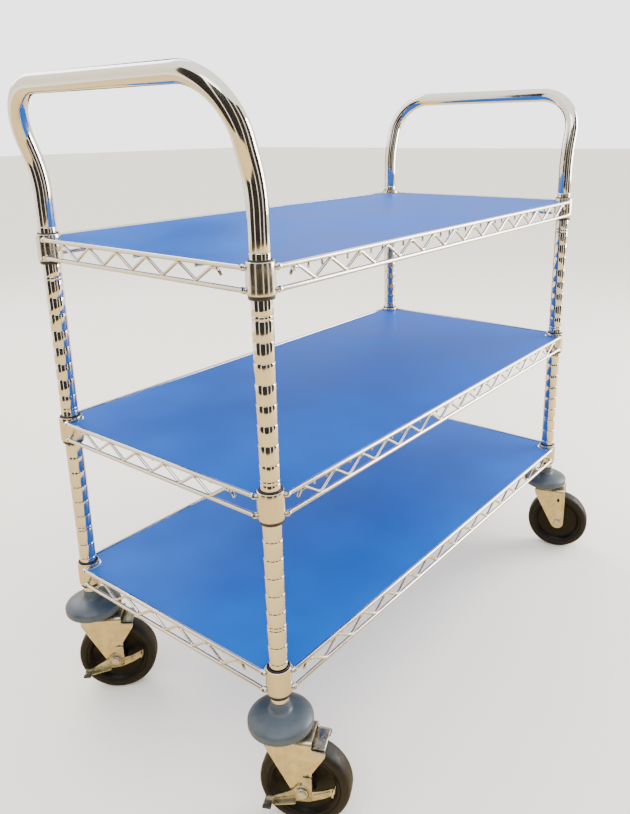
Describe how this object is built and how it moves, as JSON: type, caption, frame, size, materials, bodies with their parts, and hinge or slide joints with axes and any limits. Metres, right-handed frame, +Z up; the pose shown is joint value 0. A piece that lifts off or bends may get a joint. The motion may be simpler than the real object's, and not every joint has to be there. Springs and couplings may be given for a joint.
{
  "type": "wire shelf cart",
  "caption": "Chrome wire shelf cart with flat blue mats on its tiers, leaning tube push handles at both ends, donut bumpers and swivel casters with foot brakes at one end.",
  "frame": {"origin": "centre of the bounding box, on the floor under the cart", "axes": "+Z up, X along the shelves' long side from handle to handle, +Y across the shelves; the braked casters are at the -X end"},
  "size_m": [0.9802, 0.558, 0.9848],
  "materials": {
    "chrome_tube": "polished plating",
    "chrome_wire": "bright plating",
    "deck_wire": "bright plating",
    "mat": "semi gloss",
    "sleeve": "moulded",
    "bumper": "satin",
    "zinc": "zinc plated",
    "fork": "zinc plated pressing",
    "core": "moulded",
    "tyre": "worn",
    "brake": "zinc plated stamping"
  },
  "bodies": {
    "cart": {"end_tube_left": "chrome_tube", "end_tube_right": "chrome_tube", "shelf_frame_bottom": "chrome_wire", "shelf_deck_bottom": "deck_wire", "mat_bottom": "mat", "shelf_frame_middle": "chrome_wire", "shelf_deck_middle": "deck_wire", "mat_middle": "mat", "shelf_frame_top": "chrome_wire", "shelf_deck_top": "deck_wire", "mat_top": "mat", "sleeve_bottom_front_left": "sleeve", "sleeve_bottom_rear_left": "sleeve", "sleeve_bottom_front_right": "sleeve", "sleeve_bottom_rear_right": "sleeve", "sleeve_middle_front_left": "sleeve", "sleeve_middle_rear_left": "sleeve", "sleeve_middle_front_right": "sleeve", "sleeve_middle_rear_right": "sleeve", "sleeve_top_front_left": "sleeve", "sleeve_top_rear_left": "sleeve", "sleeve_top_front_right": "sleeve", "sleeve_top_rear_right": "sleeve", "bumper_front_left": "bumper", "caster_stem_front_left": "zinc", "bumper_rear_left": "bumper", "caster_stem_rear_left": "zinc", "bumper_front_right": "bumper", "caster_stem_front_right": "zinc", "bumper_rear_right": "bumper", "caster_stem_rear_right": "zinc"},
    "swivel_front_left": {"fork_front_left": "fork", "axle_bolt_front_left": "zinc"},
    "wheel_front_left": {"wheel_core_front_left": "core", "tyre_front_left": "tyre"},
    "brake_lever_front_left": {"brake_lever_front_left": "brake"},
    "brake_shoe_front_left": {"brake_shoe_front_left": "brake"},
    "swivel_rear_left": {"fork_rear_left": "fork", "axle_bolt_rear_left": "zinc"},
    "wheel_rear_left": {"wheel_core_rear_left": "core", "tyre_rear_left": "tyre"},
    "brake_lever_rear_left": {"brake_lever_rear_left": "brake"},
    "brake_shoe_rear_left": {"brake_shoe_rear_left": "brake"},
    "swivel_front_right": {"fork_front_right": "fork", "axle_bolt_front_right": "zinc"},
    "wheel_front_right": {"wheel_core_front_right": "core", "tyre_front_right": "tyre"},
    "swivel_rear_right": {"fork_rear_right": "fork", "axle_bolt_rear_right": "zinc"},
    "wheel_rear_right": {"wheel_core_rear_right": "core", "tyre_rear_right": "tyre"}
  },
  "joints": [
    {"name": "swivel_turn_front_left", "type": "hinge", "parent": "cart", "child": "swivel_front_left", "pos_m": [-0.43815, -0.18415, 0.1426], "axis": [0, 0, 1], "continuous": true},
    {"name": "wheel_roll_front_left", "type": "hinge", "parent": "swivel_front_left", "child": "wheel_front_left", "pos_m": [-0.42368, -0.21381, 0.0635], "axis": [0.8988, 0.4384, 0], "continuous": true},
    {"name": "brake_press_front_left", "type": "hinge", "parent": "swivel_front_left", "child": "brake_lever_front_left", "pos_m": [-0.42368, -0.21381, 0.0635], "axis": [0.8988, 0.4384, 0], "range_deg": [-14, 0]},
    {"name": "brake_grip_front_left", "type": "hinge", "parent": "swivel_front_left", "child": "brake_shoe_front_left", "pos_m": [-0.41141, -0.23898, 0.124], "axis": [-0.8988, -0.4384, 0], "range_deg": [0, 4]},
    {"name": "swivel_turn_rear_left", "type": "hinge", "parent": "cart", "child": "swivel_rear_left", "pos_m": [-0.43815, 0.23495, 0.1426], "axis": [0, 0, 1], "continuous": true},
    {"name": "wheel_roll_rear_left", "type": "hinge", "parent": "swivel_rear_left", "child": "wheel_rear_left", "pos_m": [-0.41607, 0.21043, 0.0635], "axis": [0.7431, 0.6691, 0], "continuous": true},
    {"name": "brake_press_rear_left", "type": "hinge", "parent": "swivel_rear_left", "child": "brake_lever_rear_left", "pos_m": [-0.41607, 0.21043, 0.0635], "axis": [0.7431, 0.6691, 0], "range_deg": [-14, 0]},
    {"name": "brake_grip_rear_left", "type": "hinge", "parent": "swivel_rear_left", "child": "brake_shoe_rear_left", "pos_m": [-0.39733, 0.18962, 0.124], "axis": [-0.7431, -0.6691, 0], "range_deg": [0, 4]},
    {"name": "swivel_turn_front_right", "type": "hinge", "parent": "cart", "child": "swivel_front_right", "pos_m": [0.43815, -0.18415, 0.1426], "axis": [0, 0, 1], "continuous": true},
    {"name": "wheel_roll_front_right", "type": "hinge", "parent": "swivel_front_right", "child": "wheel_front_right", "pos_m": [0.44835, -0.21554, 0.0635], "axis": [0.9511, 0.309, 0], "continuous": true},
    {"name": "swivel_turn_rear_right", "type": "hinge", "parent": "cart", "child": "swivel_rear_right", "pos_m": [0.43815, 0.23495, 0.1426], "axis": [0, 0, 1], "continuous": true},
    {"name": "wheel_roll_rear_right", "type": "hinge", "parent": "swivel_rear_right", "child": "wheel_rear_right", "pos_m": [0.44613, 0.20293, 0.0635], "axis": [0.9703, 0.2419, 0], "continuous": true}
  ],
  "couplings": [
    {"joint": "brake_grip_front_left", "follows": "brake_press_front_left", "ratio": -0.2857},
    {"joint": "brake_grip_rear_left", "follows": "brake_press_rear_left", "ratio": -0.2857}
  ]
}
